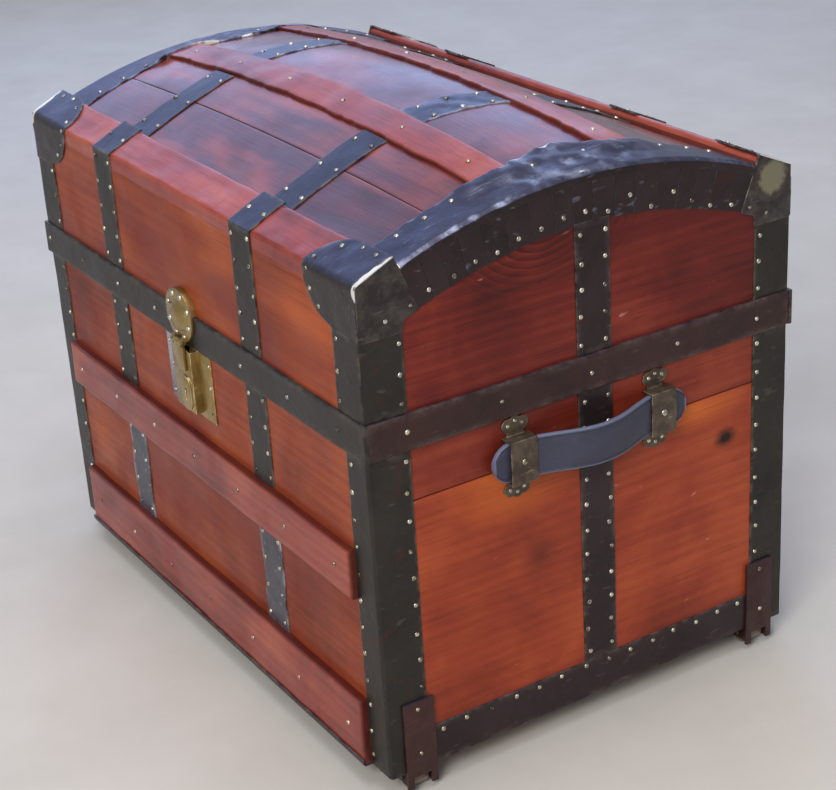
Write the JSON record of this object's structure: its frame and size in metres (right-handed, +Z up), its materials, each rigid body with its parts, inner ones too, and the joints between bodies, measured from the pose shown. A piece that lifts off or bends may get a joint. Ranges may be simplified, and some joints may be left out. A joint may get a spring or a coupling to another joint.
{
  "type": "dome-top wooden chest",
  "caption": "Dome-top wooden trunk with hinged lid, wooden slats, nailed metal bands, hasp lock, leather end handles and floor rollers.",
  "frame": {"origin": "on the floor, under the middle of the trunk", "axes": "+X along the trunk's length, the lock faces -Y, +Z up"},
  "size_m": [0.836, 0.5569, 0.6483],
  "materials": {
    "side_wood": "varnished pine, orange brown",
    "end_wood_light": "varnished pine, orange brown",
    "end_wood_dark": "varnished pine, deep red brown",
    "bottom_wood": "raw board",
    "dome_wood": "glossy varnish over red-brown stain",
    "slat_wood": "glossy varnish over brick-red stain",
    "band_metal": "old dark sheet metal, satin",
    "nail_brass": "polished domed heads",
    "worn_brass": "aged, partly worn",
    "bare_steel": "plain",
    "handle_leather": "smooth slate-blue leather",
    "roller_wood": "turned hardwood, worn"
  },
  "bodies": {
    "trunk": {"body_bottom_board": "bottom_wood", "body_front_board": "side_wood", "body_back_board": "side_wood", "body_end_left_lower": "end_wood_light", "body_end_left_upper": "end_wood_dark", "body_end_right_lower": "end_wood_light", "body_end_right_upper": "end_wood_dark", "front_mid_slat": "slat_wood", "front_bottom_slat": "slat_wood", "back_mid_slat": "slat_wood", "back_bottom_slat": "slat_wood", "body_corner_bands": "band_metal", "body_end_bands": "band_metal", "body_foot_bands": "band_metal", "body_straps": "band_metal", "body_nails": "nail_brass", "lock_plate": "worn_brass", "lock_case": "worn_brass", "handle_left": "handle_leather", "handle_right": "handle_leather", "handle_loops": "worn_brass", "handle_rivets": "nail_brass", "hinge_body_leaves": "band_metal", "hinge_pins": "bare_steel", "caster_brackets": "band_metal", "caster_axles": "bare_steel"},
    "lid": {"hinge_lid_leaves": "band_metal", "lid_front_board": "side_wood", "lid_back_board": "side_wood", "lid_end_left": "end_wood_dark", "lid_end_right": "end_wood_dark", "lid_stave_1": "dome_wood", "lid_stave_2": "dome_wood", "lid_stave_3": "dome_wood", "lid_stave_4": "dome_wood", "lid_stave_5": "dome_wood", "dome_slat_1": "slat_wood", "dome_slat_2": "slat_wood", "dome_slat_3": "slat_wood", "dome_slat_4": "slat_wood", "lid_corner_bands": "band_metal", "lid_corner_caps": "band_metal", "lid_arch_left": "band_metal", "lid_arch_right": "band_metal", "lid_end_bands": "band_metal", "lid_rim_front": "band_metal", "lid_rim_back": "band_metal", "lid_rim_ends": "band_metal", "lid_straps": "band_metal", "dome_straps": "band_metal", "lid_nails": "nail_brass", "hasp_plate": "worn_brass", "hasp_pin": "bare_steel"},
    "hasp": {"hasp": "worn_brass"},
    "lock_bolt": {"lock_bolt": "worn_brass"},
    "roller_1": {"caster_roller_1": "roller_wood"},
    "roller_2": {"caster_roller_2": "roller_wood"},
    "roller_3": {"caster_roller_3": "roller_wood"},
    "roller_4": {"caster_roller_4": "roller_wood"}
  },
  "joints": [
    {"name": "lid_hinge", "type": "hinge", "parent": "trunk", "child": "lid", "pos_m": [0, 0.2695, 0.393], "axis": [-1, 0, 0], "range_deg": [0, 105]},
    {"name": "hasp_swing", "type": "hinge", "parent": "lid", "child": "hasp", "pos_m": [0, -0.277, 0.398], "axis": [-1, 0, 0], "range_deg": [0, 150]},
    {"name": "bolt_slide", "type": "slide", "parent": "trunk", "child": "lock_bolt", "axis": [-1, 0, 0], "range_m": [0, 0.009]},
    {"name": "roller_spin_1", "type": "hinge", "parent": "trunk", "child": "roller_1", "pos_m": [0.368, -0.23, 0.0125], "axis": [0, 1, 0], "continuous": true},
    {"name": "roller_spin_2", "type": "hinge", "parent": "trunk", "child": "roller_2", "pos_m": [0.368, 0.23, 0.0125], "axis": [0, 1, 0], "continuous": true},
    {"name": "roller_spin_3", "type": "hinge", "parent": "trunk", "child": "roller_3", "pos_m": [-0.368, -0.23, 0.0125], "axis": [0, 1, 0], "continuous": true},
    {"name": "roller_spin_4", "type": "hinge", "parent": "trunk", "child": "roller_4", "pos_m": [-0.368, 0.23, 0.0125], "axis": [0, 1, 0], "continuous": true}
  ]
}
